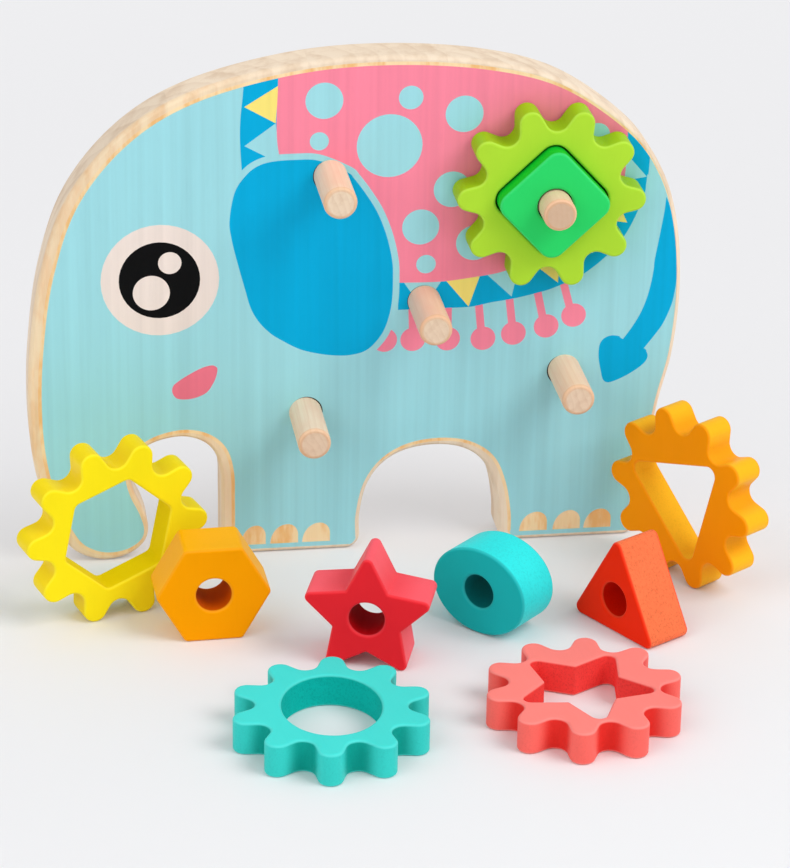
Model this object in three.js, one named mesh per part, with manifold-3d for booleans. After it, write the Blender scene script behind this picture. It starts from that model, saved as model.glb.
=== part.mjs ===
// Wooden gear toy: an elephant-shaped pine board with five dowel pegs, five gears
// and the five bored blocks that the gears slip over.
// Millimetres, +Z up. The board's printed face looks along -Y and its feet stand on z = 0.

import * as THREE from 'three';
import { mergeVertices } from 'three/addons/utils/BufferGeometryUtils.js';
import Module from 'manifold-3d';

const wasm = await Module();
wasm.setup();

// Board
const boardLength = 280.5;
const boardHeight = 225;
const boardThickness = 20;
const boardEdgeRound = 4;
const footCorner = 6;
const frontFootWidth = 60.6;
const bellyArchWidth = 61.2;
const bellyArchHeight = 47.4;

// Pegs, glued into blind bores
const pegDiameter = 14;
const pegStandOut = 33.5;
const pegEndRound = 1.5;
const woodBehindPeg = 8;
const glueGap = 0.3;

// Gears
const toothCount = 10;
const gearTipRadius = 40.2;
const gearRootRadius = 30.2;
const toothRound = 5.1;
const valleyRound = 5;
const gearThickness = 14.2;
const gearEdgeRound = 0.8;
const meshClearance = 0.4;

// Blocks
const blockThickness = 22;
const blockEdgeRound = 1;
const blockBoreDiameter = 14.8;
const squareSide = 36.5;
const squareCorner = 6;
const hexagonAcrossFlats = 41.7;
const hexagonCorner = 2.5;
const starPointCount = 5;
const starTipRadius = 30.1;
const starInnerRadius = 15;
const starCorner = 2.5;
const ovalLength = 46.6;
const ovalHeight = 38.2;
const triangleSide = 50.6;
const triangleCorner = 3;

// Fits
const blockToHole = 0.7;
const blockToBoard = 0.4;
const gearToBoard = 0.9;
const cutOverrun = 1;

// Steps of the curved outlines
const backSteps = 56;
const trunkSteps = 42;
const bellySteps = 22;
const cornerSteps = 4;
const tipSteps = 6;
const valleySteps = 5;
const ovalSteps = 36;
const boreSteps = 24;
const boardRoundSteps = 3;
const pegRoundSteps = 2;

// Where the outline runs: x as a share of the board's length from its middle,
// z as a share of its height. The front foot starts and the rear foot ends at the
// first two shares. The back goes from the rear foot over to the trunk's left side.
const frontFootShare = -0.208;
const rearFootShare = 0.448;
const backShares = [
  [0.456, 0.11], [0.474, 0.276], [0.493, 0.387], [0.5, 0.52], [0.49, 0.653], [0.463, 0.758],
  [0.411, 0.848], [0.305, 0.942], [0.186, 0.985], [0.036, 1], [-0.106, 0.987],
  [-0.253, 0.939], [-0.356, 0.862], [-0.435, 0.742], [-0.477, 0.594], [-0.496, 0.435],
  [-0.5, 0.302], [-0.493, 0.2],
];
const trunkShares = [
  [-0.476, 0.11], [-0.447, 0.038], [-0.42, 0.01], [-0.388, 0], [-0.354, 0.008],
  [-0.329, 0.031], [-0.321, 0.062], [-0.328, 0.1], [-0.342, 0.14], [-0.348, 0.178],
  [-0.337, 0.218], [-0.31, 0.242], [-0.271, 0.252], [-0.239, 0.242], [-0.218, 0.216],
  [-0.209, 0.173], [-0.208, 0.12],
];
// The belly arch: x as a share of its width, z as a share of its height.
const bellyShares = [
  [0, 0.34], [0.05, 0.63], [0.16, 0.84], [0.324, 0.962], [0.537, 1], [0.733, 0.954],
  [0.88, 0.812], [0.958, 0.57], [0.995, 0.295],
];

// The hub peg's place, as shares of the board's length and height, and the
// angle of the four pegs round it, in degrees.
const hubShares = [0.102, 0.514];
const pegAngles = [
  ['peg_upper_left', 125],
  ['peg_lower_left', 224.3],
  ['peg_lower_right', -29.3],
  ['peg_upper_right', 44],
];

// Each gear hole's turn from the gear's first tooth, in degrees
const squareHoleAngle = 45;
const hexagonHoleAngle = 18;
const starHoleAngle = -40;
const ovalHoleAngle = 77;
const triangleHoleAngle = -44;
const mountedAngle = -2;

// Where the loose pieces lie: x and y as shares of the board's length, from the middle of the
// board's face. A standing piece has the heading of its front face, a flat gear its own turn.
const looseShares = {
  yellow_gear: [-0.3866, -0.1672],
  orange_gear: [0.4929, -0.1497],
  turquoise_gear: [-0.1116, -0.5836],
  coral_gear: [0.2515, -0.5672],
  hexagon_block: [-0.2483, -0.2417],
  star_block: [-0.0248, -0.3554],
  oval_block: [0.1702, -0.2745],
  triangle_block: [0.3777, -0.2991],
};
const headingAngles = [
  ['yellow_gear', 17.6],
  ['orange_gear', -56.3],
  ['hexagon_block', 2.2],
  ['star_block', -17.7],
  ['oval_block', -45.6],
  ['triangle_block', -59.4],
];
const flatAngles = [
  ['turquoise_gear', 10.3],
  ['coral_gear', 6.3],
];

// Paint and wood
const pine = { color: 0xe8c89a, roughness: 0.62 };
const printedPine = { color: 0x9fdbe2, roughness: 0.5 };
const lime = { color: 0xaee03a, roughness: 0.38 };
const green = { color: 0x30d46a, roughness: 0.38 };
const yellow = { color: 0xfde31a, roughness: 0.38 };
const amber = { color: 0xffa306, roughness: 0.4 };
const crimson = { color: 0xe52a3a, roughness: 0.42 };
const coral = { color: 0xff8078, roughness: 0.45 };
const teal = { color: 0x23a9ae, roughness: 0.42 };
const turquoise = { color: 0x46ded6, roughness: 0.42 };
const scarlet = { color: 0xe53012, roughness: 0.42 };
const orange = { color: 0xf48a00, roughness: 0.4 };

const radians = THREE.MathUtils.degToRad;
const halfTurn = Math.PI;
const fullTurn = 2 * Math.PI;

function at(radius, angle, centre = new THREE.Vector2()) {
  return new THREE.Vector2(Math.cos(angle), Math.sin(angle)).multiplyScalar(radius).add(centre);
}

function arc(centre, radius, from, to, steps) {
  const clockwise = to < from;
  const curve = new THREE.EllipseCurve(centre.x, centre.y, radius, radius, from, to, clockwise);
  return curve.getPoints(steps);
}

// A ring of points without its closing copy.
function ring(radiusX, radiusY, steps) {
  const curve = new THREE.EllipseCurve(0, 0, radiusX, radiusY, 0, fullTurn);
  return curve.getPoints(steps).slice(0, -1);
}

function turned(points, degrees) {
  const pivot = new THREE.Vector2();
  return points.map((point) => point.clone().rotateAround(pivot, radians(degrees)));
}

// Every corner of a polygon becomes an arc. A corner with no radius stays sharp.
function roundCorners(corners, radii) {
  const outline = [];
  corners.forEach((corner, i) => {
    const radius = radii[i];
    if (radius === 0) {
      outline.push(corner);
      return;
    }
    const before = corners.at(i - 1).clone().sub(corner).normalize();
    const after = corners[(i + 1) % corners.length].clone().sub(corner).normalize();
    const halfAngle = Math.acos(before.dot(after)) / 2;
    const inward = before.clone().add(after).normalize();
    const centre = inward.clone().multiplyScalar(radius / Math.sin(halfAngle)).add(corner);
    const middle = inward.negate().angle();
    const sweep = halfTurn / 2 - halfAngle;
    outline.push(...arc(centre, radius, middle - sweep, middle + sweep, cornerSteps));
  });
  return outline;
}

function regularPolygon(count, radius, firstAngle) {
  return Array.from({ length: count }, (_, i) => at(radius, firstAngle + (i * fullTurn) / count));
}

// Each shape is drawn `grow` larger all round, so that a gear's hole clears its block.
function squareOutline(grow = 0) {
  const reach = (squareSide / 2 + grow) * Math.SQRT2;
  return roundCorners(regularPolygon(4, reach, halfTurn / 4), Array(4).fill(squareCorner + grow));
}

function hexagonOutline(grow = 0) {
  const reach = (hexagonAcrossFlats / 2 + grow) / Math.cos(halfTurn / 6);
  return roundCorners(regularPolygon(6, reach, 0), Array(6).fill(hexagonCorner + grow));
}

function triangleOutline(grow = 0) {
  const reach = triangleSide / Math.sqrt(3) + 2 * grow;
  return roundCorners(regularPolygon(3, reach, halfTurn / 2), Array(3).fill(triangleCorner + grow));
}

function ovalOutline(grow = 0) {
  return ring(ovalLength / 2 + grow, ovalHeight / 2 + grow, ovalSteps);
}

// The angle between a star point's axis and its flank.
function starPointAngle() {
  const side = starInnerRadius * Math.sin(halfTurn / starPointCount);
  const drop = starTipRadius - starInnerRadius * Math.cos(halfTurn / starPointCount);
  return Math.atan2(side, drop);
}

function starOutline(grow = 0) {
  const flankDistance = starTipRadius * Math.sin(starPointAngle());
  const stretch = (flankDistance + grow) / flankDistance;
  const corners = Array.from({ length: 2 * starPointCount }, (_, i) => {
    const radius = i % 2 === 0 ? starTipRadius : starInnerRadius;
    return at(radius * stretch, halfTurn / 2 + (i * halfTurn) / starPointCount);
  });
  const radii = corners.map((_, i) => (i % 2 === 0 ? starCorner + grow : 0));
  return roundCorners(corners, radii);
}

// Round-tipped teeth: arcs round the tips and in the valleys, joined by their common tangents.
function gearOutline() {
  const tipCentreRadius = gearTipRadius - toothRound;
  const valleyCentreRadius = gearRootRadius + valleyRound;
  const halfPitch = halfTurn / toothCount;
  const outline = [];
  for (let i = 0; i < toothCount; i += 1) {
    const tooth = i * 2 * halfPitch;
    const valley = tooth + halfPitch;
    const tipCentre = at(tipCentreRadius, tooth);
    const valleyCentre = at(valleyCentreRadius, valley);
    const span = valleyCentre.clone().sub(tipCentre);
    const lean = Math.acos((toothRound + valleyRound) / span.length());
    const tangent = Math.atan2(span.y, span.x) - lean;
    const tipSweep = Math.atan2(Math.sin(tangent - tooth), Math.cos(tangent - tooth));
    const valleySweep = tipSweep - halfPitch;
    outline.push(...arc(tipCentre, toothRound, tooth - tipSweep, tooth + tipSweep, tipSteps));
    const facing = valley + halfTurn;
    const from = facing + valleySweep;
    outline.push(...arc(valleyCentre, valleyRound, from, facing - valleySweep, valleySteps));
  }
  return outline;
}

function boardOutline() {
  const place = ([x, z]) => new THREE.Vector2(x * boardLength, z * boardHeight);
  const frontLeft = frontFootShare * boardLength;
  const frontRight = frontLeft + frontFootWidth;
  const rearLeft = frontRight + bellyArchWidth;
  const rearRight = rearFootShare * boardLength;
  const placeInArch = ([x, z]) => new THREE.Vector2(frontRight + x * bellyArchWidth, z * bellyArchHeight);
  const soleCorner = (x, side) => arc(
    new THREE.Vector2(x - side * footCorner, footCorner),
    footCorner,
    side < 0 ? halfTurn : 1.5 * halfTurn,
    side < 0 ? 1.5 * halfTurn : fullTurn,
    cornerSteps,
  );
  const belly = [
    new THREE.Vector2(frontRight, footCorner), ...bellyShares.map(placeInArch),
    new THREE.Vector2(rearLeft, footCorner),
  ];
  const back = [
    new THREE.Vector2(rearRight, footCorner), ...backShares.map(place), place(trunkShares[0]),
  ];
  const trunk = [...trunkShares.map(place), new THREE.Vector2(frontLeft, footCorner)];
  return [
    ...soleCorner(frontLeft, -1),
    ...soleCorner(frontRight, 1),
    ...new THREE.SplineCurve(belly).getPoints(bellySteps).slice(1, -1),
    ...soleCorner(rearLeft, -1),
    ...soleCorner(rearRight, 1),
    ...new THREE.SplineCurve(back).getPoints(backSteps).slice(1),
    ...new THREE.SplineCurve(trunk).getPoints(trunkSteps).slice(1, -1),
  ];
}

// A plate of the outline, centred on its own mid-plane, with rounded front and back edges.
// The outline is the plate's full size, and the rounding takes wood away from it.
function plate(outline, thickness, edgeRound, roundSteps, hole = null) {
  const shape = new THREE.Shape(outline);
  if (hole) shape.holes.push(new THREE.Path(hole));
  const geometry = new THREE.ExtrudeGeometry(shape, {
    depth: thickness - 2 * edgeRound,
    bevelThickness: edgeRound,
    bevelSize: edgeRound,
    bevelOffset: -edgeRound,
    bevelSegments: roundSteps,
  });
  return geometry.translate(0, 0, edgeRound - thickness / 2);
}

function toSolid(geometry) {
  const bare = geometry.clone();
  bare.deleteAttribute('uv');
  bare.deleteAttribute('normal');
  const merged = mergeVertices(bare);
  return new wasm.Manifold(new wasm.Mesh({
    numProp: 3,
    vertProperties: new Float32Array(merged.attributes.position.array),
    triVerts: new Uint32Array(merged.index.array),
  }));
}

function toGeometry(solid) {
  const mesh = solid.getMesh();
  const geometry = new THREE.BufferGeometry();
  geometry.setAttribute('position', new THREE.BufferAttribute(mesh.vertProperties, 3));
  geometry.setIndex(new THREE.BufferAttribute(mesh.triVerts, 1));
  const faceted = geometry.toNonIndexed();
  faceted.computeVertexNormals();
  return faceted;
}

function piece(name, geometry, look) {
  const material = new THREE.MeshStandardMaterial({ metalness: 0, ...look });
  const mesh = new THREE.Mesh(geometry, material);
  mesh.name = name;
  return mesh;
}

const pegSeat = boardThickness - woodBehindPeg;
const meshDistance = gearTipRadius + gearRootRadius + meshClearance;
const hub = new THREE.Vector2(hubShares[0] * boardLength, hubShares[1] * boardHeight);
const pegPlaces = { peg_hub: hub };
for (const [name, angle] of pegAngles) {
  pegPlaces[name] = at(meshDistance, radians(angle), hub);
}

// The panel with its five blind bores. It is drawn flat and stood up with its face to -Y.
function makeBoard() {
  const panel = plate(boardOutline(), boardThickness, boardEdgeRound, boardRoundSteps);
  let solid = toSolid(panel);
  const boreRadius = pegDiameter / 2 + glueGap;
  const boreLength = pegSeat + cutOverrun;
  for (const place of Object.values(pegPlaces)) {
    const bore = new THREE.CylinderGeometry(boreRadius, boreRadius, boreLength, boreSteps);
    bore.rotateX(halfTurn / 2);
    bore.translate(place.x, place.y, boardThickness / 2 - pegSeat + boreLength / 2);
    solid = solid.subtract(toSolid(bore));
  }
  const board = piece('elephant_board', toGeometry(solid), printedPine);
  board.rotation.x = halfTurn / 2;
  board.position.y = boardThickness / 2;
  return board;
}

// A dowel from the bottom of its bore to its rounded end, standing out of the face.
function makePeg(name, place) {
  const radius = pegDiameter / 2;
  const length = pegSeat - glueGap + pegStandOut;
  const end = new THREE.Vector2(radius - pegEndRound, length - pegEndRound);
  const profile = [
    new THREE.Vector2(0, 0),
    new THREE.Vector2(radius, 0),
    ...arc(end, pegEndRound, 0, halfTurn / 2, pegRoundSteps),
    new THREE.Vector2(0, length),
  ];
  const peg = piece(name, new THREE.LatheGeometry(profile, boreSteps), pine);
  peg.rotation.x = halfTurn;
  peg.position.set(place.x, pegSeat - glueGap, place.y);
  return peg;
}

function makeGear(name, hole, look) {
  return piece(name, plate(gearOutline(), gearThickness, gearEdgeRound, 1, hole), look);
}

function makeBlock(name, outline, look) {
  const bore = ring(blockBoreDiameter / 2, blockBoreDiameter / 2, boreSteps);
  return piece(name, plate(outline, blockThickness, blockEdgeRound, 1, bore), look);
}

const squareBlock = makeBlock('square_block', turned(squareOutline(), squareHoleAngle), green);
const squareHole = turned(squareOutline(blockToHole), squareHoleAngle);
const limeGear = makeGear('lime_gear', squareHole, lime);
const loose = {
  yellow_gear: makeGear('yellow_gear', turned(hexagonOutline(blockToHole), hexagonHoleAngle), yellow),
  orange_gear: makeGear('orange_gear', turned(triangleOutline(blockToHole), triangleHoleAngle), orange),
  turquoise_gear: makeGear('turquoise_gear', turned(ovalOutline(blockToHole), ovalHoleAngle), turquoise),
  coral_gear: makeGear('coral_gear', turned(starOutline(blockToHole), starHoleAngle), coral),
  hexagon_block: makeBlock('hexagon_block', hexagonOutline(), amber),
  star_block: makeBlock('star_block', starOutline(), crimson),
  oval_block: makeBlock('oval_block', ovalOutline(), teal),
  triangle_block: makeBlock('triangle_block', triangleOutline(), scarlet),
};

// How high each piece's middle lies when it stands on what it rests on.
const starRoundCentre = starTipRadius - starCorner / Math.sin(starPointAngle());
const gearStandHeight = (gearTipRadius - toothRound) * Math.cos(halfTurn / toothCount) + toothRound;
const standHeights = {
  yellow_gear: gearStandHeight,
  orange_gear: gearStandHeight,
  hexagon_block: hexagonAcrossFlats / 2,
  star_block: starRoundCentre * Math.cos(halfTurn / starPointCount) + starCorner,
  oval_block: ovalHeight / 2,
  triangle_block: triangleSide / (2 * Math.sqrt(3)),
};

// The square block sits on the upper right peg, and the lime gear on the block.
function hangOnPeg(mesh, thickness, gapToBoard) {
  const place = pegPlaces.peg_upper_right;
  mesh.rotation.set(halfTurn / 2, 0, radians(mountedAngle));
  mesh.position.set(place.x, -gapToBoard - thickness / 2, place.y);
  return mesh;
}

function standUp(name, angle) {
  const turntable = new THREE.Group();
  const [x, y] = looseShares[name];
  turntable.position.set(x * boardLength, y * boardLength, standHeights[name]);
  turntable.rotation.z = radians(angle);
  loose[name].rotation.x = halfTurn / 2;
  turntable.add(loose[name]);
  return turntable;
}

function layFlat(name, angle) {
  const [x, y] = looseShares[name];
  loose[name].position.set(x * boardLength, y * boardLength, gearThickness / 2);
  loose[name].rotation.z = radians(angle);
  return loose[name];
}

const set = new THREE.Group();
set.add(makeBoard());
for (const [name, place] of Object.entries(pegPlaces)) set.add(makePeg(name, place));
set.add(hangOnPeg(squareBlock, blockThickness, blockToBoard));
set.add(hangOnPeg(limeGear, gearThickness, gearToBoard));
for (const [name, angle] of headingAngles) set.add(standUp(name, angle));
for (const [name, angle] of flatAngles) set.add(layFlat(name, angle));

// The origin is on the table, below the middle of the whole set.
const toy = new THREE.Group();
toy.add(set);
const middle = new THREE.Box3().setFromObject(set, true).getCenter(new THREE.Vector3());
set.position.set(-middle.x, -middle.y, 0);
toy.updateMatrixWorld(true);

export default toy;
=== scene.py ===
import bpy
import numpy as np
from mathutils import Matrix, Vector
from mathutils.geometry import delaunay_2d_cdt


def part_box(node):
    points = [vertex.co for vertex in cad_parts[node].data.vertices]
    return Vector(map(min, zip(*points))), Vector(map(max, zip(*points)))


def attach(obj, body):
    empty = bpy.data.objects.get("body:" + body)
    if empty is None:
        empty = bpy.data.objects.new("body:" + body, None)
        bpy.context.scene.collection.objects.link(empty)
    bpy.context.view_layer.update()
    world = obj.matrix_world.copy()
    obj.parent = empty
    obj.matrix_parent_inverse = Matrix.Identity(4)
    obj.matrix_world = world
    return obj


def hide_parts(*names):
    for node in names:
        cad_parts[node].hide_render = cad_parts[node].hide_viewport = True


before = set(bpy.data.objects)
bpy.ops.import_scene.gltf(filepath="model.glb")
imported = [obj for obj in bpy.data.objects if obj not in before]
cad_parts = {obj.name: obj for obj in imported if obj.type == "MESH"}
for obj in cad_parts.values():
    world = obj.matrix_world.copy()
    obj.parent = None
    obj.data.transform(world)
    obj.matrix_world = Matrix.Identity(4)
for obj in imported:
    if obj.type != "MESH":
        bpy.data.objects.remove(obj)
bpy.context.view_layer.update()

MM = 0.001


# The elephant board. Pine staves glued edge to edge, sawn to the outline, with all edges rounded
# over. The face is printed up to a few millimetres from the edge, and the toes are left bare. It
# stands on its two feet and the tip of its trunk.

def arc(centre, radius, start, end, steps):
    """Points of a circle's arc at equal angles in degrees, and their directions from the centre."""
    angle = np.radians(np.linspace(start, end, steps + 1))
    away = np.stack([np.cos(angle), np.sin(angle)], 1)
    return np.asarray(centre) + radius * away, away


def spline(knots, steps, closed=False):
    """A uniform Catmull-Rom curve: each span is the cubic through its two knots whose slope at a
    knot is half the way between the knots on both sides. Gives points and unit right-hand normals."""
    knots = np.asarray(knots, float)
    spans = len(knots) - (0 if closed else 1)
    along = np.linspace(0, spans, steps + 1)[: steps + (0 if closed else 1)]
    first = np.minimum(along.astype(int), spans - 1)
    t = (along - first)[:, None]

    def knot(i):
        return knots[i % len(knots)] if closed else knots[np.clip(i, 0, len(knots) - 1)]

    p0, p1, p2, p3 = (knot(first + k) for k in (-1, 0, 1, 2))
    v1, v2 = (p2 - p0) / 2, (p3 - p1) / 2
    a, b = 2 * p1 - 2 * p2 + v1 + v2, -3 * p1 + 3 * p2 - 2 * v1 - v2
    points = ((a * t + b) * t + v1) * t + p1
    slope = (3 * a * t + 2 * b) * t + v1
    right = np.stack([slope[:, 1], -slope[:, 0]], 1)
    return points, right / np.linalg.norm(right, axis=1)[:, None]


def joined(*parts):
    """Pieces of an outline, each (points, normals), end to end as one."""
    return np.concatenate([p for p, _ in parts]), np.concatenate([n for _, n in parts])


def inside(points, loop):
    """Whether each point lies in a closed loop: a ray to the right crosses it an odd number of times."""
    a, b = loop, np.roll(loop, -1, 0)
    x, y = points[:, :1], points[:, 1:]
    spans = (a[:, 1] > y) != (b[:, 1] > y)
    rise = np.where(a[:, 1] == b[:, 1], 1, b[:, 1] - a[:, 1])
    hit = a[:, 0] + (y - a[:, 1]) / rise * (b[:, 0] - a[:, 0])
    return (spans & (x < hit)).sum(1) % 2 == 1


edge_rings, same_point = 7, 1e-4


def plate(name, outer, holes, thickness, edge, axes, lines=()):
    """A plate of an outline. At every outline point the edge profile is a quarter ellipse at the
    back, a straight wall and a quarter ellipse at the front: the point moves inwards by the
    ellipse's width times (1 - cos) and forwards by its depth times sin, and the normal is the
    ellipse's own. The flat faces between are cut into triangles, along the given lines as well.
    The plate is then placed by its axes: a point x, y, z lies at origin + x u + y v + z w.
    "hole" is 1 on the walls of the holes."""
    width, depth = edge
    quarter = np.radians(np.linspace(0, 90, edge_rings))
    turn = np.concatenate([-quarter[::-1], quarter])
    back_or_front = np.repeat([-1, 1], edge_rings)
    step_in = width * (1 - np.cos(turn))
    height = back_or_front * (thickness / 2 - depth) + depth * np.sin(turn)
    lean = np.stack([np.cos(turn) / width, np.sin(turn) / depth], 1)
    lean /= np.linalg.norm(lean, axis=1)[:, None]
    spots, normals, quads, rims, in_hole = [], [], [], [], []
    for points, out in [outer, *holes]:
        count, start = len(points), sum(len(s) for s in spots)
        flat = points[None] - out[None] * step_in[:, None, None]
        tall = np.broadcast_to(height[:, None, None], (len(turn), count, 1))
        spots.append(np.concatenate([flat, tall], 2).reshape(-1, 3))
        sideways = out[None] * lean[:, None, :1]
        upwards = np.broadcast_to(lean[:, None, 1:], (len(turn), count, 1))
        normals.append(np.concatenate([sideways, upwards], 2).reshape(-1, 3))
        ring, here = np.meshgrid(np.arange(len(turn) - 1), np.arange(count), indexing="ij")
        low, after = ring * count + start, (here + 1) % count
        high = low + count
        quads.append(np.stack([low + here, low + after, high + after, high + here], 2).reshape(-1, 4))
        rims.append((start + np.arange(count), start + (len(turn) - 1) * count + np.arange(count)))
        in_hole.append(np.full(len(turn) * count, float(len(rims) > 1)))
    spots, normals = np.concatenate(spots), np.concatenate(normals)
    faces = np.concatenate(quads).tolist()
    for front in (0, 1):
        rim = np.concatenate([r[front] for r in rims])
        first = np.cumsum([0] + [len(r[front]) for r in rims])
        loops = [np.arange(a, b) for a, b in zip(first, first[1:])]
        links = [np.stack([loop, np.roll(loop, -1)], 1) for loop in loops]
        flat = [spots[rim, :2]]
        for segments in lines if front else ():
            begin = sum(len(f) for f in flat)
            flat.append(segments.reshape(-1, 2))
            links.append(begin + np.arange(2 * len(segments)).reshape(-1, 2))
        corners = [Vector(p) for p in np.concatenate(flat).tolist()]
        made = delaunay_2d_cdt(corners, np.concatenate(links).tolist(), [], 1, same_point)
        corners = np.array([tuple(p) for p in made[0]])
        triangles = np.array([t for t in made[2] if len(t) == 3])
        middle = corners[triangles].mean(1)
        keep = inside(middle, spots[rims[0][front], :2])
        for r in rims[1:]:
            keep &= ~inside(middle, spots[r[front], :2])
        origin = np.array([min(o) if o else len(rim) for o in made[3]])
        fresh = np.flatnonzero(origin >= len(rim))
        number = np.concatenate([rim, [0]])[np.minimum(origin, len(rim))]
        number[fresh] = len(spots) + np.arange(len(fresh))
        level = np.full((len(fresh), 1), thickness / 2 * (1 if front else -1))
        spots = np.concatenate([spots, np.concatenate([corners[fresh], level], 1)])
        normals = np.concatenate([normals, np.tile([0, 0, 1.0 if front else -1.0], (len(fresh), 1))])
        faces += number[triangles[keep]][:, :: 1 if front else -1].tolist()
    piece = surface(name, spots, normals, faces, axes)
    in_hole = np.concatenate([*in_hole, np.zeros(len(spots) - sum(map(len, in_hole)))])
    piece.data.attributes.new("hole", "FLOAT", "POINT").data.foreach_set("value", in_hole)
    return piece


def surface(name, spots, normals, faces, axes):
    """A mesh of points in millimetres on the piece's own axes, with their true normals. The own
    coordinates stay with the points as "grain": the wood's grain runs along the second of them."""
    origin, u, v, w = (np.asarray(a, float) for a in axes)
    frame_of = np.stack([u, v, w])
    mesh = bpy.data.meshes.new(name)
    mesh.from_pydata(((origin + spots @ frame_of) * MM).tolist(), [], faces)
    mesh.shade_smooth()
    mesh.attributes.new("grain", "FLOAT_VECTOR", "POINT").data.foreach_set("vector", spots.ravel())
    mesh.normals_split_custom_set_from_vertices((normals @ frame_of).tolist())
    piece = bpy.data.objects.new(name, mesh)
    bpy.context.scene.collection.objects.link(piece)
    return piece


board_length, board_height, board_thickness = 280.5, 225.0, 20.0
front_foot_width, belly_width, belly_height = 60.6, 61.2, 47.4
front_foot_share, rear_foot_end_share = -0.208, 0.448
sole_round = 6.0
front_foot = front_foot_share * board_length
rear_foot_end = rear_foot_end_share * board_length
front_foot_end = front_foot + front_foot_width
rear_foot = front_foot_end + belly_width

# The curves of the outline, as shares: the belly arch's of its own width and height, and the
# others' of the board's length from its middle and of its height.
belly_shares = [
    [0, 0.34], [0.05, 0.63], [0.16, 0.84], [0.324, 0.962], [0.537, 1], [0.733, 0.954],
    [0.88, 0.812], [0.958, 0.57], [0.995, 0.295],
]
back_shares = [
    [0.456, 0.11], [0.474, 0.276], [0.493, 0.387], [0.5, 0.52], [0.49, 0.653], [0.463, 0.758],
    [0.411, 0.848], [0.305, 0.942], [0.186, 0.985], [0.036, 1], [-0.106, 0.987],
    [-0.253, 0.939], [-0.356, 0.862], [-0.435, 0.742], [-0.477, 0.594], [-0.496, 0.435],
    [-0.5, 0.302], [-0.493, 0.2],
]
trunk_shares = [
    [-0.476, 0.11], [-0.447, 0.038], [-0.42, 0.01], [-0.388, 0], [-0.354, 0.008],
    [-0.329, 0.031], [-0.321, 0.062], [-0.328, 0.1], [-0.342, 0.14], [-0.348, 0.178],
    [-0.337, 0.218], [-0.31, 0.242], [-0.271, 0.252], [-0.239, 0.242], [-0.218, 0.216],
    [-0.209, 0.173], [-0.208, 0.12],
]
belly = np.array(belly_shares) * [belly_width, belly_height] + [front_foot_end, 0]
back = np.array(back_shares) * [board_length, board_height]
trunk = np.array(trunk_shares) * [board_length, board_height]
belly_line = [[front_foot_end, sole_round], *belly, [rear_foot, sole_round]]
back_line = [[rear_foot_end, sole_round], *back, trunk[0]]
trunk_line = [*trunk, [front_foot, sole_round]]


def between(part):
    """The part without its two end points, where its neighbours already have one."""
    return part[0][1:-1], part[1][1:-1]


board_outline = joined(
    arc([front_foot + sole_round, sole_round], sole_round, 180, 270, 8),
    arc([front_foot_end - sole_round, sole_round], sole_round, 270, 360, 8),
    between(spline(belly_line, steps=88)),
    arc([rear_foot + sole_round, sole_round], sole_round, 180, 270, 8),
    arc([rear_foot_end - sole_round, sole_round], sole_round, 270, 360, 8),
    between(spline(back_line, steps=224)),
    between(spline(trunk_line, steps=168)),
)

# What a spot of the face shows, by number. The first two are wood: sawn, and yellowed by the
# varnish of the print, in a narrow line round the print and on the toes. The others are inks.
sawn_wood, varnished, pale_blue, blue, pink, yellow, white, black, rose = range(9)
board_inks = {pale_blue: (159, 220, 229), blue: (2, 172, 222), pink: (250, 138, 162),
              yellow: (250, 230, 124), white: (238, 224, 216), black: (12, 12, 13), rose: (240, 122, 144)}

# The drawing is measured sideways from a line this far right of the board's middle, and up from
# the table.
drawing_line = 28.05


def drawn(knots, steps=None, closed=True):
    """A drawn shape in the board's own coordinates: its knots as they are, or a smooth curve
    through them."""
    knots = np.asarray(knots, float) + [drawing_line, 0]
    return spline(knots, steps, closed)[0] if steps else knots


def stretch(knots, steps=40):
    """An open stretch of a drawn shape's edge: a smooth curve through its knots."""
    return drawn(knots, steps, closed=False)


def disc(x, z, radius):
    return arc([x + drawing_line, z], radius, 0, 360, 40)[0][:-1]


def strip(x1, z1, x2, z2, width):
    """A straight band: its centre line moved sideways by half the width on both sides."""
    ends = np.array([[x1 + drawing_line, z1], [x2 + drawing_line, z2]], float)
    along = (ends[1] - ends[0]) / np.linalg.norm(ends[1] - ends[0])
    side = np.array([along[1], -along[0]]) * width / 2
    return np.array([ends[0] + side, ends[1] + side, ends[1] - side, ends[0] - side])


toe_foot, toe_crown, toe_shoulder, toe_crown_share = 4.2, 13.3, 5.0, 0.62


def toe(left, right):
    """A bare toe: a flat foot, a steep right side with a round shoulder and a long slope to the
    left, each a quarter ellipse from the crown, which is 0.62 of the width from the left."""
    crown = left + toe_crown_share * (right - left)
    up = np.radians(np.linspace(0, 90, 13))
    shoulder_x, shoulder_drop = crown + (right - crown) * np.cos(up), toe_shoulder * (1 - np.sin(up))
    shoulder = np.stack([shoulder_x, toe_crown - shoulder_drop], 1)
    slope_x, slope_rise = crown - (crown - left) * np.sin(up), (toe_crown - toe_foot) * np.cos(up)
    slope = np.stack([slope_x, toe_foot + slope_rise], 1)
    return np.concatenate([[[right, toe_foot]], shoulder, slope[1:]]) + [drawing_line, 0]


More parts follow.
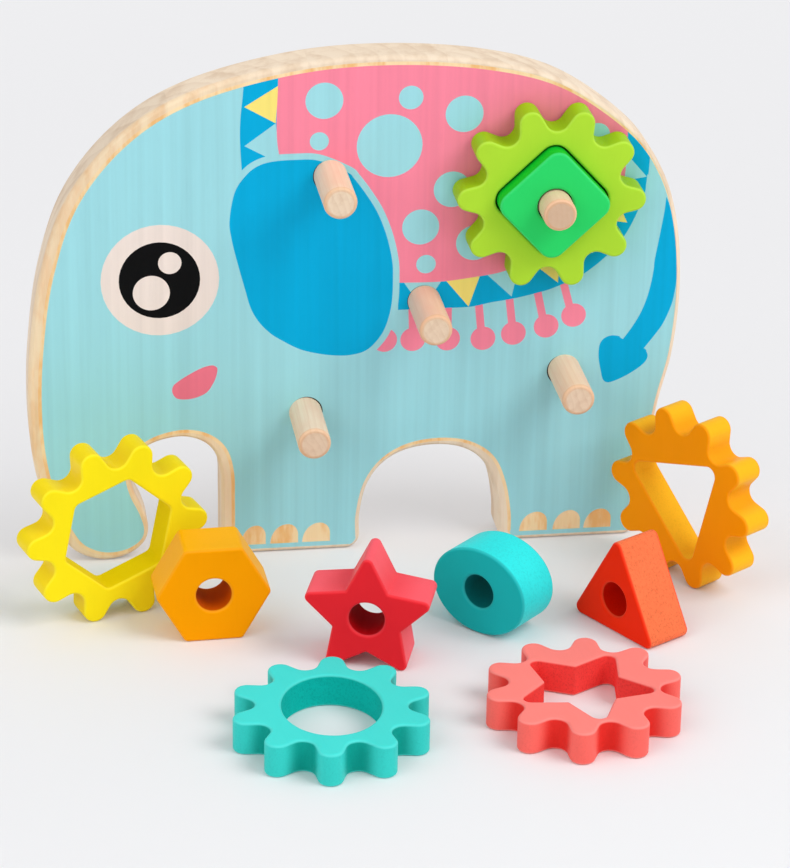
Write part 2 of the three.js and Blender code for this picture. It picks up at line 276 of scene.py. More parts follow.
# The print ends inside the outline, the varnish's yellow line goes on a little further, and both
# come nearer to the outline under the feet, where its normal points down by 0.3 to 0.9. The print
# was laid on a little to the right. An edge's rounding has a width on the face and a depth.
print_inset, print_nearer, print_right = 3.9, 1.8, 1.9
varnish_inset, varnish_nearer = 2.4, 0.4
board_edge = 1.8, 3.0
points, out = board_outline
underside = np.clip((-out[:, 1:] - 0.3) / 0.6, 0, 1)
under_feet = underside * ((points[:, 1:] < sole_round) & (points[:, :1] > front_foot - 1))
print_loop = points - (print_inset - print_nearer * under_feet) * out + [print_right, 0]
varnish_loop = points - (varnish_inset - varnish_nearer * under_feet) * out + [print_right, 0]
flat_loop = points - (board_edge[0] + 0.1) * out

band_left = [(-76, 228), (-76.4, 212.7), (-77.6, 200), (-77.8, 190), (-77, 176), (-76, 170)]
band_right = [(-62, 228), (-62, 215.5), (-62.6, 200), (-62.4, 190), (-61.6, 184)]
blanket_hem = [(-10, 124.4), (8, 124.2), (24, 125.9), (34, 127.6), (45, 131.5), (59, 135.5), (70, 142),
               (79, 151), (84, 161), (85.5, 172), (85.8, 190), (86, 228)]
border_hem = [(-10.6, 112), (7, 112), (20.6, 112.1), (29.4, 113.7), (39.4, 115.1), (51.7, 117.8),
              (58.3, 120), (67.8, 124.2), (77.2, 131.4), (85, 139.9), (90, 149), (94, 160), (94.7, 165),
              (95, 169), (95.7, 175), (96, 228)]
ear = [(-82.3, 155.5), (-80, 168), (-75, 175.5), (-70, 179.2), (-64, 180.8), (-55, 181.2), (-45, 180.5),
       (-33, 175), (-30, 172), (-25, 165), (-20, 156.5), (-16, 146), (-13.5, 135), (-13, 127),
       (-13.2, 117), (-14.5, 109), (-17, 102), (-21, 96.5), (-25, 93.5), (-30, 92.2), (-35, 92),
       (-42, 92.8), (-50, 94.8), (-55, 97), (-60, 100), (-65, 103.5), (-70, 109), (-73.5, 115.5),
       (-76, 124.5), (-79, 136), (-81.5, 147)]
cheek = [(-107.2, 78.8), (-106.7, 81.2), (-105, 82.9), (-100.8, 85.7), (-95, 88.8), (-90.8, 90),
         (-88.8, 89.6), (-87.8, 88.2), (-88.3, 85), (-89.6, 81.7), (-92.1, 77.9), (-95.8, 75.8),
         (-100, 74.8), (-104.2, 75), (-106.2, 76.3)]
tail_left = [(103.7, 158.8), (103.3, 153), (102.5, 147), (101.2, 138), (100, 130), (99.8, 126), (99, 120),
             (97.5, 113), (95, 106), (91.5, 99.5), (87, 93)]
tail_right = [(96.5, 88.5), (101, 94.5), (105, 100.5), (108, 108), (109.2, 113), (110, 120), (110, 126),
              (109.5, 134), (108.5, 142), (107, 149), (105, 156)]
tail_tuft = [(87.5, 94.2), (86, 95.5), (82.5, 96), (79.5, 94.8), (77.8, 92.5), (77.3, 89), (77.5, 85),
             (78.5, 80), (79.7, 75.5), (81.8, 74), (85, 74.7), (90, 77), (95, 80.2), (98, 83), (99, 85.5),
             (98.5, 87.5), (97, 89.5)]
ear_line, ear_out = spline(np.array(ear[::-1]) + [drawing_line, 0], 240, closed=True)
ear_border, tassel_width, tassel_end_radius = 2.8, 3.4, 5.4

# The drawing, from the first colour laid down to the last, each with the loop that it fills.
drawing = [
    (blue, np.concatenate([stretch(band_left), drawn([(-62, 170)]), stretch(band_right[::-1])])),
    (yellow, drawn([(-61.8, 213.8), (-76, 205), (-63, 197.5)])),
    (pale_blue, drawn([(-63, 197.5), (-76, 188), (-63.4, 181), (-61.5, 184)])),
    *[(pink, strip(*tassel, tassel_width)) for tassel in (
        (-4.5, 114, -4, 100), (10.9, 114, 11, 100), (24, 115, 25.7, 99), (37.3, 116, 39.3, 100),
        (49.2, 119, 53, 102), (60.5, 122, 64.6, 107))],
    *[(pink, disc(*tassel_end, tassel_end_radius)) for tassel_end in (
        (-16.2, 98.3), (-4, 98.1), (11, 97.7), (26.4, 97.2), (39.6, 99), (53.8, 101.7), (65.6, 106.2))],
    (blue, np.concatenate([stretch(border_hem, 120), drawn([(-10.6, 228)])])),
    (pale_blue, drawn([(-9, 125.5), (8.5, 125.5), (0, 112)])),
    (yellow, drawn([(9, 125.5), (24.6, 126.9), (19.8, 112.2)])),
    (pale_blue, drawn([(26.6, 127.3), (41.5, 131.5), (38.3, 116)])),
    (yellow, drawn([(45, 132.5), (59, 136.5), (58.2, 121.6)])),
    (pale_blue, drawn([(61, 137), (71, 144), (73, 134.5)])),
    (yellow, drawn([(83, 157), (77, 149.5), (87.2, 147.8)])),
    (pale_blue, drawn([(85, 179.5), (83, 166.4), (94.8, 168.2)])),
    (pink, np.concatenate([stretch(band_right), drawn([(-50, 150), (-20, 124.4)]),
                           stretch(blanket_hem, 110)])),
    *[(pale_blue, disc(*dot)) for dot in (
        (-42.8, 206.6, 7.9), (-44.8, 189, 4), (-15.3, 186, 13.85), (-6.6, 206.8, 5.15), (16, 198.9, 8),
        (11.6, 165.7, 7.95), (-1.55, 149.3, 7.9), (1.05, 132.4, 4.2), (21.6, 141.3, 7.9),
        (72.8, 187.6, 5.3), (49, 168, 11), (62, 149, 4.5))],
    (pale_blue, ear_line + ear_border * ear_out),
    (blue, ear_line),
    (white, disc(-111.7, 129.75, 24.9)), (black, disc(-111.9, 129.8, 17.1)),
    (white, disc(-107.5, 137.4, 4.9)), (white, disc(-115.4, 124.2, 7.8)),
    (rose, drawn(cheek, 90)),
    (blue, np.concatenate([stretch(tail_left, 60), stretch(tail_right, 60)])),
    (blue, drawn(tail_tuft, 120)),
    *[(varnished, toe(*ends)) for ends in (
        (-78, -67.2), (-65.2, -53), (-51.2, -39), (45, 57.4), (60, 72.2), (73.8, 86))],
]


segment_length = 2


def clipped(loop, fence):
    """The parts of a closed loop that lie inside a fence, as short straight segments. A segment
    with one end outside stops where it meets the fence: the place t = ((f - a) x e) / (d x e)."""
    ends = np.roll(loop, -1, 0)
    pieces = np.maximum(np.ceil(np.linalg.norm(ends - loop, axis=1) / segment_length), 1).astype(int)
    share = np.arange(pieces.sum()) - np.repeat(np.cumsum(pieces) - pieces, pieces)
    share = (share / np.repeat(pieces, pieces))[:, None]
    a = np.repeat(loop, pieces, 0) * (1 - share) + np.repeat(ends, pieces, 0) * share
    d = np.roll(a, -1, 0) - a
    f, e = fence, np.roll(fence, -1, 0) - fence
    cross = d[:, :1] * e[:, 1] - d[:, 1:] * e[:, 0]
    cross = np.where(np.abs(cross) < 1e-12, 1e-12, cross)
    gap_x, gap_y = f[:, 0] - a[:, :1], f[:, 1] - a[:, 1:]
    t = (gap_x * e[:, 1] - gap_y * e[:, 0]) / cross
    s = (gap_x * d[:, 1:] - gap_y * d[:, :1]) / cross
    t = np.where((t > 0) & (t < 1) & (s >= 0) & (s < 1), t, 2).min(1)
    a_in, b_in = inside(a, fence), inside(a + d, fence)
    meet = a + d * np.minimum(t, 1)[:, None]
    begin, end = np.where(a_in[:, None], a, meet), np.where(b_in[:, None], a + d, meet)
    keep = (a_in | b_in) & (np.linalg.norm(end - begin, axis=1) > 1e-3)
    return np.stack([begin[keep], end[keep]], 1)


board_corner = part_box("elephant_board")[0]
board_middle, board_face = (board_corner.x + board_length / 2 * MM) / MM, board_corner.y / MM
board_axes = [(board_middle, board_face + board_thickness / 2, 0), (1, 0, 0), (0, 0, 1), (0, -1, 0)]
borders = [clipped(loop, flat_loop) for loop in (print_loop, varnish_loop)]
board = plate("board_panel", board_outline, [], board_thickness, board_edge, board_axes,
              [*borders, *[clipped(loop, print_loop) for _, loop in drawing]])

# Each face of the mesh gets the number of the last colour laid over its middle. Only the flat
# front is printed.
faces = board.data.polygons
centres, looks = np.zeros(3 * len(faces), np.float32), np.zeros(3 * len(faces), np.float32)
faces.foreach_get("center", centres)
faces.foreach_get("normal", looks)
centres = centres.reshape(-1, 3)[:, [0, 2]] / MM - [board_middle, 0]
printed = looks.reshape(-1, 3)[:, 1] < -0.999
ink = np.where(inside(centres, varnish_loop), varnished, sawn_wood)
ink = np.where(inside(centres, print_loop), pale_blue, ink)
for number, loop in drawing:
    ink = np.where(inside(centres, loop) & inside(centres, print_loop), number, ink)
ink = np.where(printed, ink, sawn_wood).astype(float)
board.data.attributes.new("ink", "FLOAT", "FACE").data.foreach_set("value", ink)


class Wire:
    """An output of a material's node, used like a number: arithmetic on it adds Math nodes,
    & keeps the smaller and | the larger of two values."""

    def __init__(self, socket):
        self.socket = socket

    def node(self, kind, settings=(), inputs=(), output=0):
        """Adds a node of a kind: its settings come first, then each input's value or wire."""
        made = self.socket.id_data.nodes.new("ShaderNode" + kind)
        for key, value in dict(settings).items():
            setattr(made, key, value)
        for key, value in dict(inputs).items():
            if isinstance(value, Wire):
                self.socket.id_data.links.new(value.socket, made.inputs[key])
            else:
                made.inputs[key].default_value = value
        return Wire(made.outputs[output])

    def math(self, operation, *values):
        return self.node("Math", {"operation": operation}, enumerate(values))

    def __add__(self, other):
        return self.math("ADD", self, other)

    def __sub__(self, other):
        return self.math("SUBTRACT", self, other)

    def __rsub__(self, other):
        return self.math("SUBTRACT", other, self)

    def __mul__(self, other):
        return self.math("MULTIPLY", self, other)

    def __truediv__(self, other):
        return self.math("DIVIDE", self, other)

    def __rtruediv__(self, other):
        return self.math("DIVIDE", other, self)

    def __pow__(self, other):
        return self.math("POWER", self, other)

    def __and__(self, other):
        return self.math("MINIMUM", self, other)

    def __or__(self, other):
        return self.math("MAXIMUM", self, other)

    __radd__, __rmul__ = __add__, __mul__

    def parts(self):
        """The three numbers of a vector."""
        return [self.node("SeparateXYZ", inputs={0: self}, output=i) for i in range(3)]

    def stretched(self, x, y, z):
        """A vector, each part times its own number."""
        return self.node("VectorMath", {"operation": "MULTIPLY"}, {0: self, 1: (x, y, z)})

    def noise(self, detail=2.0, roughness=0.5):
        """Smooth noise from 0 to 1, one bump to each unit of the vector."""
        inputs = {"Vector": self, "Scale": 1.0, "Detail": detail, "Roughness": roughness}
        return self.node("TexNoise", inputs=inputs)

    def steps(self, nought, one):
        """0 at the first number and beyond, 1 at the second and beyond, and a smooth ramp between."""
        inputs = {0: self, 1: nought, 2: one, 3: 0.0, 4: 1.0}
        return self.node("MapRange", {"interpolation_type": "SMOOTHSTEP"}, inputs)

    def mix(self, under, over):
        """Two colours mixed: all `over` where this wire is 1."""
        return self.node("Mix", {"data_type": "RGBA"}, {0: self, 6: under, 7: over}, output=2)

    def shaded(self, factor):
        """A colour made lighter or darker by a number."""
        return self.node("VectorMath", {"operation": "SCALE"}, {0: self, "Scale": factor})


def colour(red, green, blue):
    """A colour as written for a screen, turned into the linear light that a shader works in."""
    c = np.array([red, green, blue]) / 255
    return (*np.where(c <= 0.04045, c / 12.92, ((c + 0.055) / 1.055) ** 2.4).tolist(), 1.0)


def finish_for(name):
    """A new material: the material, its shader, and the wire of its piece's own coordinates."""
    material = bpy.data.materials.new(name)
    material.use_nodes = True
    shader = material.node_tree.nodes["Principled BSDF"]
    own = material.node_tree.nodes.new("ShaderNodeAttribute")
    own.attribute_name = "grain"
    return material, shader, Wire(own.outputs["Vector"])


def connect(shader, **wires):
    """Links wires to the shader's inputs, whose names are written with _ for a blank."""
    for key, wire in wires.items():
        shader.id_data.links.new(wire.socket, shader.inputs[key.replace("_", " ")])


def bump(height, distance, strength):
    """The normal of a surface that rises by the height times the distance in metres, and how much
    of that leaning counts."""
    return height.node("Bump", inputs={"Strength": strength, "Distance": distance, "Height": height})


# The pith lies aside of a stave by 34 to 64 mm and below its middle by 36 to 60 mm, by luck. The
# rings waver by up to 14 mm, over 30 mm across the grain and 240 mm along it.
stave_start_share = 0.37
pith_aside, pith_aside_more, pith_below, pith_below_more = 34, 30, 36, 24
waver_size, waver_across, waver_along = 14, 30, 240


def pine(own, stave, ring):
    """Pine: year rings round a pith that runs along the grain, far to one side of every stave, so
    the rings cross its thickness at a slant. A ring darkens slowly and ends sharply: the share of
    the way through a ring to the power of 2.5. Gives the dark wood's share, the fine fibres and
    how light the stave is."""
    x, _, deep = own.parts()
    place = x / stave + stave_start_share
    number = place.math("FLOOR", place)
    luck = number.node("TexWhiteNoise", {"noise_dimensions": "1D"}, {"W": number}, output=1)
    luck_x, luck_y, luck_z = luck.parts()
    waver = own.stretched(1 / waver_across, 1 / waver_along, 1 / waver_across).noise(3.0) * waver_size
    across = x - number * stave + pith_aside + luck_x * pith_aside_more
    below = pith_below - deep + luck_y * pith_below_more
    squares = across * across + below * below
    rings = (squares.math("SQRT", squares) + waver) / ring
    share = rings.math("FRACT", rings)
    late = share ** 2.5 * share.steps(1.0, 0.86)
    fibre = own.stretched(2.1, 0.035, 2.1).noise(3.0, 0.6)
    return late, fibre, luck_z


# The five bores are a little wider than the pegs, and each lies a little off its peg, to the right
# and upwards by these lengths. The board's mesh has no bores: the shaded gap on one side of each
# peg is painted shade, a dark disc on the face that the peg hides but for a thin crescent.
peg_bore_radius, gap_shade_blur = 7.2, 0.25
bore_offsets = {"peg_hub": (-0.15, 0.0), "peg_lower_left": (0.4, 0.2), "peg_lower_right": (-0.4, -0.25),
                "peg_upper_left": (-0.3, -0.15), "peg_upper_right": (0.3, 0.3)}


def corners_of(node):
    """The lowest and the highest corner of a CAD piece, in millimetres."""
    return [np.array(corner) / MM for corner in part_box(node)]


def middle_of(node):
    low, high = corners_of(node)
    return (low + high) / 2


def in_bores(own):
    """1 where a bore's middle is nearer than its radius, and 0 elsewhere."""
    x, height, _ = own.parts()
    found = []
    for name, (right, up) in bore_offsets.items():
        middle_x, _, middle_height = middle_of(name).tolist()
        aside, above = x - (middle_x - board_middle + right), height - (middle_height + up)
        distance = (aside * aside + above * above) ** 0.5
        found.append(distance.steps(peg_bore_radius, peg_bore_radius - gap_shade_blur))
    return found[0] | found[1] | found[2] | found[3] | found[4]


board_front = board_thickness / 2
material, shader, own = finish_for("printed pine")
late, fibre, light = pine(own, stave=58, ring=8.5)
x, _, depth = own.parts()
pores = own.stretched(3.4, 0.06, 3.4).noise(2.0, 0.7).steps(0.60, 0.74)
smear = own.stretched(0.11, 0.02, 0.11).noise(3.0, 0.6).steps(0.42, 0.68)
planed = depth.steps(-board_front + 0.6, -board_front + 0.1)
dark = late * (0.35 + planed * 0.45) + smear * (0.45 - planed * 0.38)
sawn = dark.mix(colour(240, 222, 199), colour(209, 181, 152))
patch = own.stretched(0.17, 0.05, 0.17).noise(3.0, 0.6).steps(0.40, 0.68)
yellowed = (patch * 0.8 + late * 0.1).mix(colour(250, 222, 176), colour(240, 180, 106))
number = own.node("Attribute", {"attribute_name": "ink"}, output="Fac")
is_wood = number.math("LESS_THAN", number, varnished + 0.5)
is_sawn = number.math("LESS_THAN", number, sawn_wood + 0.5)
# Towards the left the varnish ran over the rounding of the edge.
run = depth.steps(board_front - 3.4, board_front - 1.6) * x.steps(-20, -85) * 0.5
wood = (is_sawn * (1 - run)).mix(yellowed, sawn)
wood = (fibre.steps(0.35, 0.8) * 0.14).mix(wood, colour(222, 186, 140))
wood = wood.shaded(0.97 + light * 0.06)
inks = number.node("ValToRGB", inputs={0: (number - pale_blue + 0.5) / len(board_inks)})
ramp = inks.socket.node.color_ramp
ramp.interpolation = "CONSTANT"
for i, ink_colour in enumerate(board_inks.values()):
    stop = ramp.elements[i] if i < 2 else ramp.elements.new(i / len(board_inks))
    stop.position = i / len(board_inks)
    stop.color = colour(*ink_colour)
streak = own.stretched(0.30, 0.004, 0.2).noise(2.0, 0.6)
broad = own.stretched(0.09, 0.003, 0.05).noise(2.0)
shown = inks.shaded(0.99 + (streak - 0.5) * 0.16 - late * 0.03 + (broad - 0.5) * 0.16 - pores * 0.02)
# Painted shade: the face is darkened inside the bores, for the shaded gap beside each peg.
bore_gap_shade = in_bores(own) * (1 - is_wood)
connect(
    shader,
    Base_Color=bore_gap_shade.mix(is_wood.mix(shown, wood), colour(48, 40, 38)),
    Roughness=0.40 + is_wood * 0.14 + (fibre - 0.5) * 0.16,
    Normal=bump(fibre * 0.5 + late * 0.35 - pores * 0.5, 0.00012, 0.6),
)
shader.inputs["Specular IOR Level"].default_value = 0.06
board.data.materials.append(material)
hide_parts("elephant_board")
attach(board, "board")


# The five pegs. Plain pine dowels with their ends rounded over, glued into blind bores in the
# face: the hub in the middle and four round it, each just far enough off for two gears to mesh.

# A tone is how far a peg's end and its side go over to a darker, redder wood.
peg_radius, peg_end_round, peg_end_slant = 7.0, 1.6, 78
peg_tones = {"peg_hub": (0.1, 0.5), "peg_lower_left": (0.15, 0.0), "peg_lower_right": (0.1, 0.15),
             "peg_upper_left": (0.0, 0.1), "peg_upper_right": (0.75, 0.4)}


def turned_peg(name, seed):
    """A profile turned round the peg's axis: a point at angle a and profile place s lies at
    radius(s) cos a, radius(s) sin a across and length(s) along. The profile is the flat foot, the
    straight side, most of a quarter circle and a slightly domed end: the dome falls by the square
    of the distance from the axis. "rim" is 1 on the rounding, and "tone" holds the peg's tones."""
    low, high = corners_of(name)
    centre, foot, length = middle_of(name), high[1], high[1] - low[1]
    lean = np.radians(np.linspace(0, peg_end_slant, 9))
    inwards, backwards = peg_end_round * (1 - np.cos(lean)), peg_end_round * (1 - np.sin(lean))
    rounding = np.stack([peg_radius - inwards, length - backwards], 1)
    inner = np.linspace(1, 0.08, 8)[1:, None]
    drop = rounding[-1, 1] + (length - rounding[-1, 1]) * (1 - inner ** 2)
    dome = np.concatenate([rounding[-1, 0] * inner, drop], 1)
    profile = np.concatenate([[[0.3, 0], [peg_radius, 0], [peg_radius, 0.01]], rounding, dome])
    slope = np.gradient(profile, axis=0)
    slope[0], slope[1], slope[2] = (1, 0), (1, 0), (0, 1)
    out = np.stack([slope[:, 1], -slope[:, 0]], 1)
    out /= np.linalg.norm(out, axis=1)[:, None]
    angle = np.linspace(0, 2 * np.pi, 65)[:-1]
    around = np.stack([np.cos(angle), np.sin(angle)], 1)

    def swept(radial, axial):
        ring = radial[:, None, None] * around[None]
        tall = np.broadcast_to(axial[:, None, None], (len(radial), len(angle), 1))
        return np.concatenate([ring[..., :1], tall, ring[..., 1:]], 2).reshape(-1, 3)

    spots, normals = swept(profile[:, 0], profile[:, 1]), swept(out[:, 0], out[:, 1])
    step, here = np.meshgrid(np.arange(len(profile) - 1), np.arange(len(angle)), indexing="ij")
    ring, after = step * len(angle), (here + 1) % len(angle)
    next_ring = ring + len(angle)
    quads = np.stack([ring + here, next_ring + here, next_ring + after, ring + after], 2)
    caps = [np.arange(len(angle)).tolist(), (len(spots) - 1 - np.arange(len(angle))).tolist()]
    axes = [(centre[0], foot, centre[2]), (1, 0, 0), (0, -1, 0), (0, 0, -1)]
    piece = surface(name + "_dowel", spots, normals, quads.reshape(-1, 4).tolist() + caps, axes)
    shifted = spots + seed * np.array([11.0, 67.0, 5.0])
    piece.data.attributes["grain"].data.foreach_set("vector", shifted.ravel())
    on_rim = (np.abs(out[:, 0]) > 0.08) & (np.abs(out[:, 1]) > 0.12) & (profile[:, 1] > 1)
    rim = np.repeat(on_rim.astype(float), len(angle))
    piece.data.attributes.new("rim", "FLOAT", "POINT").data.foreach_set("value", rim)
    tone = np.tile([*peg_tones[name], 0.0], len(spots))
    piece.data.attributes.new("tone", "FLOAT_VECTOR", "POINT").data.foreach_set("vector", tone)
    return piece


material, shader, own = finish_for("pine dowel")
late, fibre, _ = pine(own, stave=400, ring=2.6)
facing = own.node("NewGeometry", output="Normal").parts()[1]
end_grain = facing.math("ABSOLUTE", facing).steps(0.80, 0.97)
rim = own.node("Attribute", {"attribute_name": "rim"}, output="Fac").steps(0.1, 0.9)
blush = own.stretched(0.12, 0.05, 0.12).noise(2.0).steps(0.4, 0.7)
side = (late * 0.35 + fibre.steps(0.3, 0.8) * 0.3).mix(colour(249, 222, 192), colour(230, 186, 150))
side = (blush * 0.6).mix(side, colour(244, 200, 170))
end_tone, side_tone, _ = own.node("Attribute", {"attribute_name": "tone"}, output="Vector").parts()
side = side_tone.mix(side, colour(242, 186, 156))
blotch = own.stretched(0.35, 0.2, 0.35).noise(3.0, 0.6).steps(0.42, 0.66)
end = (late * 0.3 + blotch * 0.25).mix(colour(234, 211, 185), colour(206, 172, 140))
end = end_tone.mix(end, colour(200, 164, 134))
wood = end_grain.mix(side, end)
connect(
    shader,
    Base_Color=(rim * 0.45).mix(wood, colour(222, 168, 120)),
    Roughness=0.56 + (fibre - 0.5) * 0.16,
    Normal=bump(fibre * 0.6 + late * 0.3, 0.00012, 0.6),
)
shader.inputs["Specular IOR Level"].default_value = 0.25
for seed, name in enumerate(peg_tones):
    dowel = turned_peg(name, seed + 1)
    dowel.data.materials.append(material)
    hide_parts(name)
    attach(dowel, "board")


# The square block on the upper right peg, and the lime gear slipped over it. Both are sawn from
# solid wood, bored or cut out in the middle, edges broken and sprayed with satin paint. The block
# turns on the peg and carries the gear round.

gear_thickness, gear_edge = 14.2, (1.2, 1.2)
block_thickness, block_edge, bore_radius = 22.0, (1.3, 1.3), 7.4
tooth_count, tip_radius, root_radius, tooth_round, valley_round = 10, 40.2, 30.2, 5.1, 5.0
gear_hollows = 30.5, 37.5
square_side, square_round = 36.5, 6
hole_grow, block_gap, gear_gap = 0.7, 0.4, 0.9


def gear_outline():
    """Ten teeth: arcs round the tips and, the other way, in the valleys, joined by the tangents
    that the two circles share. One tooth is worked out and turned ten times."""
    tip, valley = tip_radius - tooth_round, root_radius + valley_round
    half = np.pi / tooth_count
    span = np.array([valley * np.cos(half) - tip, valley * np.sin(half)])
    lean = np.arccos((tooth_round + valley_round) / np.linalg.norm(span))
    tangent = np.degrees(np.arctan2(span[1], span[0]) - lean)
    half = np.degrees(half)
    tooth = arc([tip, 0], tooth_round, -tangent, tangent, 14)
    centre = valley * np.array([np.cos(np.radians(half)), np.sin(np.radians(half))])
    inwards, spread = half + 180, tangent - half
    hollow, facing = arc(centre, valley_round, inwards + spread, inwards - spread, 12)
    points, out = joined(tooth, (hollow, -facing))
    turn = np.arange(tooth_count) * 2 * np.pi / tooth_count
    spin = np.stack([np.cos(turn), np.sin(turn), -np.sin(turn), np.cos(turn)], 1).reshape(-1, 1, 2, 2)
    return (points[None, :, None] @ spin).reshape(-1, 2), (out[None, :, None] @ spin).reshape(-1, 2)


def polygon(radii, corner_rounds, first):
    """A closed outline of straight sides: corners at equal angles and the given radii from the
    middle, each rounded by an arc that touches both sides. A corner that points inwards gets
    its arc on the outside, so the normals run smoothly round it too."""
    count = len(radii)
    angle = np.radians(first) + np.arange(count) * 2 * np.pi / count
    corners = np.stack([radii * np.cos(angle), radii * np.sin(angle)], 1)
    back_way, on_way = np.roll(corners, 1, 0) - corners, np.roll(corners, -1, 0) - corners
    back_way /= np.linalg.norm(back_way, axis=1)[:, None]
    on_way /= np.linalg.norm(on_way, axis=1)[:, None]
    half = np.arccos((back_way * on_way).sum(1)) / 2
    middle = back_way + on_way
    middle /= np.linalg.norm(middle, axis=1)[:, None]
    centre = corners + middle * (corner_rounds / np.sin(half))[:, None]
    convex = np.sign(back_way[:, 1] * on_way[:, 0] - back_way[:, 0] * on_way[:, 1])
    facing = np.arctan2(-middle[:, 1], -middle[:, 0])
    sweep = (np.pi / 2 - half) * convex
    share = np.linspace(-1, 1, 9)
    bearing = facing[:, None] + sweep[:, None] * share
    away = np.stack([np.cos(bearing), np.sin(bearing)], 2)
    points = centre[:, None] + corner_rounds[:, None, None] * away
    return points.reshape(-1, 2), (away * convex[:, None, None]).reshape(-1, 2)


def square(grow=0.0):
    corner_radius = (square_side / 2 + grow) * 2 ** 0.5
    return polygon(np.full(4, corner_radius), np.full(4, square_round + grow), first=45)


def as_hole(outline, turn=0.0):
    """An outline used as a hole: turned, run the other way, its normals facing into the hole."""
    points, out = turned_by(outline, turn)
    return points[::-1], -out[::-1]


def turned_by(outline, degrees):
    a = np.radians(degrees)
    spin = np.array([[np.cos(a), np.sin(a)], [-np.sin(a), np.cos(a)]])
    return outline[0] @ spin, outline[1] @ spin


bore = as_hole(arc([0, 0], bore_radius, 0, 360, 48))
bore = bore[0][:-1], bore[1][:-1]


def painted(name, face, side, hole, open_grain, pooled, thickness, edge, hollows=(0.0, 1.0)):
    """Satin paint sprayed on wood, with the three colours that it shows on the faces, on the sawn
    sides and in the holes; the side and hole colours also hold painted light and shade, lighter or
    darker than the face as those surfaces are lit or shaded. On the faces it lies even, with soft
    patches. The sides drink more of it, so open grain shows there as fine specks, by two shares: on
    the sides and in the holes. In the hollows of the outline, between two distances from the middle,
    the sides get painted shade by a share, and there the colour is the side colour times itself
    times 0.8. On the broken edges it is lighter: thin paint, and a painted highlight."""
    material, shader, own = finish_for(name)
    bored = own.node("Attribute", {"attribute_name": "hole"}, output="Fac")
    grain = own.stretched(0.7, 0.05, 0.7).noise(4.0, 0.6)
    on_sides, in_holes = open_grain
    openness = bored * (in_holes - on_sides) + on_sides
    specks = own.stretched(1.5, 0.7, 1.1).noise(3.0, 0.75).steps(0.44, 0.70) * openness
    patches = own.stretched(0.05, 0.03, 0.05).noise(2.0).steps(0.35, 0.75)
    orange_peel = own.stretched(0.8, 0.8, 0.8).noise(1.0)
    x, y, z = own.parts()
    off_middle, face_at = z.math("ABSOLUTE", z), thickness / 2
    wall = off_middle.steps(face_at - edge * 0.35, face_at - edge * 1.1)
    past_wall = off_middle.steps(face_at - edge, face_at - edge * 0.55)
    before_face = off_middle.steps(face_at, face_at - edge * 0.3)
    # The broken edges, where the paint is thin and a painted highlight goes.
    thin_paint_and_highlight = past_wall & before_face
    # Painted shade in the hollows of the outline, on the sides only, by a share: the side colour times itself
    # times 0.8.
    pool = ((x * x + y * y) ** 0.5).steps(hollows[1], hollows[0]) * (pooled - bored * pooled)
    deep = (*(np.array(colour(*side)[:3]) ** 2 * 0.8).tolist(), 1.0)
    coat = (wall * bored).mix(wall.mix(colour(*face), pool.mix(colour(*side), deep)), colour(*hole))
    coat = coat.shaded(1.01 - patches * 0.04 - grain.steps(0.4, 0.8) * 0.015 - wall * specks * 0.3)
    # The edges' lighter colour, partly thin paint and partly painted highlight: the face colour 0.3 of the
    # way to white.
    light = np.array(face) + (255 - np.array(face)) * 0.3
    connect(
        shader,
        Base_Color=(thin_paint_and_highlight * 0.18).mix(coat, colour(*light)),
        Roughness=0.42 + (grain - 0.5) * 0.1 + wall * (specks * 0.15 + bored * 0.4),
        Normal=bump(grain * 0.15 + orange_peel * 0.3 - wall * specks * 0.8, 0.00016, 0.6),
    )
    shader.inputs["Specular IOR Level"].default_value = 0.11
    shader.inputs["Specular Tint"].default_value = colour(*face)
    return material


def paint_on(piece, material, node, body):
    piece.data.materials.append(material)
    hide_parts(node)
    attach(piece, body)


mount = middle_of("peg_upper_right")
tilt = np.radians(-2.0)
mount_axes = (np.cos(tilt), 0, np.sin(tilt)), (-np.sin(tilt), 0, np.cos(tilt)), (0, -1, 0)
block_middle = (mount[0], board_face - block_gap - block_thickness / 2, mount[2])
gear_middle = (mount[0], board_face - gear_gap - gear_thickness / 2, mount[2])
square_block = plate("square_block_wood", turned_by(square(), 45), [bore],
                     block_thickness, block_edge, [block_middle, *mount_axes])
lime_gear = plate("lime_gear_wood", gear_outline(), [as_hole(square(hole_grow), 45)],
                  gear_thickness, gear_edge, [gear_middle, *mount_axes])
# Here and below, the side and hole colours hold painted light and shade besides the paint's own colour:
# lighter or darker than the face as those surfaces are lit or shaded.
green = painted("green paint", face=(47, 214, 106), side=(18, 196, 50), hole=(10, 120, 40),
                open_grain=(0.05, 0.05), pooled=0, thickness=block_thickness, edge=block_edge[0])
lime = painted("lime paint", face=(176, 222, 58), side=(158, 206, 12), hole=(110, 150, 0),
               open_grain=(0.05, 0.05), pooled=0.1, thickness=gear_thickness, edge=gear_edge[0],
               hollows=gear_hollows)
paint_on(square_block, green, "square_block", "square_block")
paint_on(lime_gear, lime, "lime_gear", "lime_gear")


# The four loose gears, the same blank with four other holes. Sawn from solid wood, edges broken,
# sprayed with satin paint. The yellow and the orange one stand on two teeth, and the turquoise
# and the coral one lie on the table.

gear_stand = (tip_radius - tooth_round) * np.cos(np.pi / tooth_count) + tooth_round
hexagon_flats, hexagon_round, triangle_side, triangle_round = 41.7, 2.5, 50.6, 3
oval_half_length, oval_half_height, oval_places = 23.3, 19.1, 96
star_tip, star_hollow, star_tip_round, star_hollow_round, hollow_grow_share = 30.1, 15.0, 2.5, 1.0, 0.6


def hexagon(grow=0.0):
    corner_radius = (hexagon_flats / 2 + grow) / np.cos(np.pi / 6)
    return polygon(np.full(6, corner_radius), np.full(6, hexagon_round + grow), first=0)


